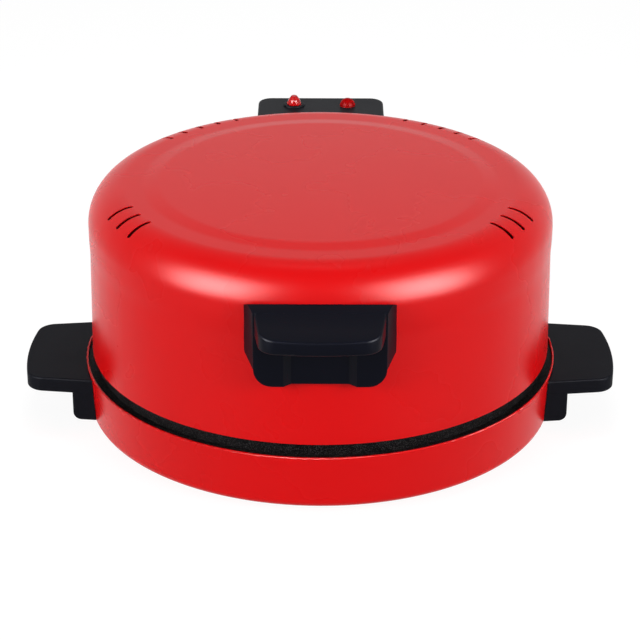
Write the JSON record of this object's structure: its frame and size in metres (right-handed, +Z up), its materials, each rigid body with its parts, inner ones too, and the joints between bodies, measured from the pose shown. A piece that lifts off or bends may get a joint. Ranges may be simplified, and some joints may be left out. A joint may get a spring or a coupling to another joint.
{
  "type": "roti maker",
  "caption": "Countertop flatbread cooker with a round base, a non-stick plate, a tall domed lid on a rear hinge, side handles, a front grip and pilot lamps.",
  "frame": {"origin": "centre of the footprint on the worktop, below the body's axis", "axes": "+Z up, -Y towards the front grip, +X to the right as seen from the front"},
  "size_m": [0.4646, 0.444, 0.1928],
  "materials": {
    "red_paint": "glossy red heat-resistant enamel on pressed steel",
    "black_plastic": "satin black phenolic moulding",
    "non_stick": "speckled black non-stick coating on cast aluminium",
    "bright_steel": "aluminised sheet steel",
    "element_sheath": "dull heat-darkened steel tube",
    "zinc_steel": "zinc-plated steel",
    "ceramic": "unglazed steatite ceramic with metal parts",
    "white_plastic": "natural nylon",
    "brass": "plain brass",
    "rubber": "matt black rubber",
    "wire_insulation": "glass-braid sleeving",
    "red_lens": "clear red faceted plastic",
    "dark_red_lens": "plain red plastic dome"
  },
  "bodies": {
    "base": {"base_shell": "red_paint", "base_bottom_cover": "bright_steel", "plate_support_ring": "bright_steel", "lower_reflector": "bright_steel", "thermostat_bracket": "bright_steel", "thermal_fuse_clip": "bright_steel", "lower_element_straps": "bright_steel", "cooking_plate": "non_stick", "lower_element": "element_sheath", "lower_element_terminals": "ceramic", "thermostat": "ceramic", "thermal_fuse": "ceramic", "bottom_cover_screws": "zinc_steel", "foot_screws": "zinc_steel", "foot_nuts": "zinc_steel", "centre_stud": "zinc_steel", "centre_nut": "zinc_steel", "lower_element_screws": "zinc_steel", "plate_small_screws": "zinc_steel", "side_handle_screws": "zinc_steel", "lower_housing_screws": "zinc_steel", "lower_cover_screws": "zinc_steel", "terminal_block_screw": "zinc_steel", "hinge_pin_left": "zinc_steel", "hinge_pin_right": "zinc_steel", "side_handle_right": "black_plastic", "side_handle_left": "black_plastic", "lower_hinge_housing": "black_plastic", "lower_housing_cover": "black_plastic", "cord_gland": "black_plastic", "foot_front_left": "rubber", "foot_front_right": "rubber", "foot_rear_left": "rubber", "foot_rear_right": "rubber", "wire_grommet": "rubber", "terminal_block": "white_plastic", "terminal_screws": "brass", "element_supply_wires": "wire_insulation", "hinge_wires": "wire_insulation"},
    "lid": {"lid_shell": "red_paint", "lid_liner": "bright_steel", "upper_element": "element_sheath", "upper_element_terminals": "ceramic", "upper_element_hangers": "bright_steel", "hanger_rivets": "zinc_steel", "lid_handle": "black_plastic", "lid_handle_screws": "zinc_steel", "upper_hinge_housing": "black_plastic", "upper_housing_screws": "zinc_steel", "heating_lamp_body": "white_plastic", "ready_lamp_body": "white_plastic", "heating_lamp_bezel": "black_plastic", "heating_lamp_lens": "red_lens", "ready_lamp_lens": "dark_red_lens", "lid_wires": "wire_insulation"}
  },
  "joints": [
    {"name": "lid_hinge", "type": "hinge", "parent": "base", "child": "lid", "pos_m": [0, 0.212, 0.047], "axis": [-1, 0, 0], "range_deg": [0, 95]}
  ]
}
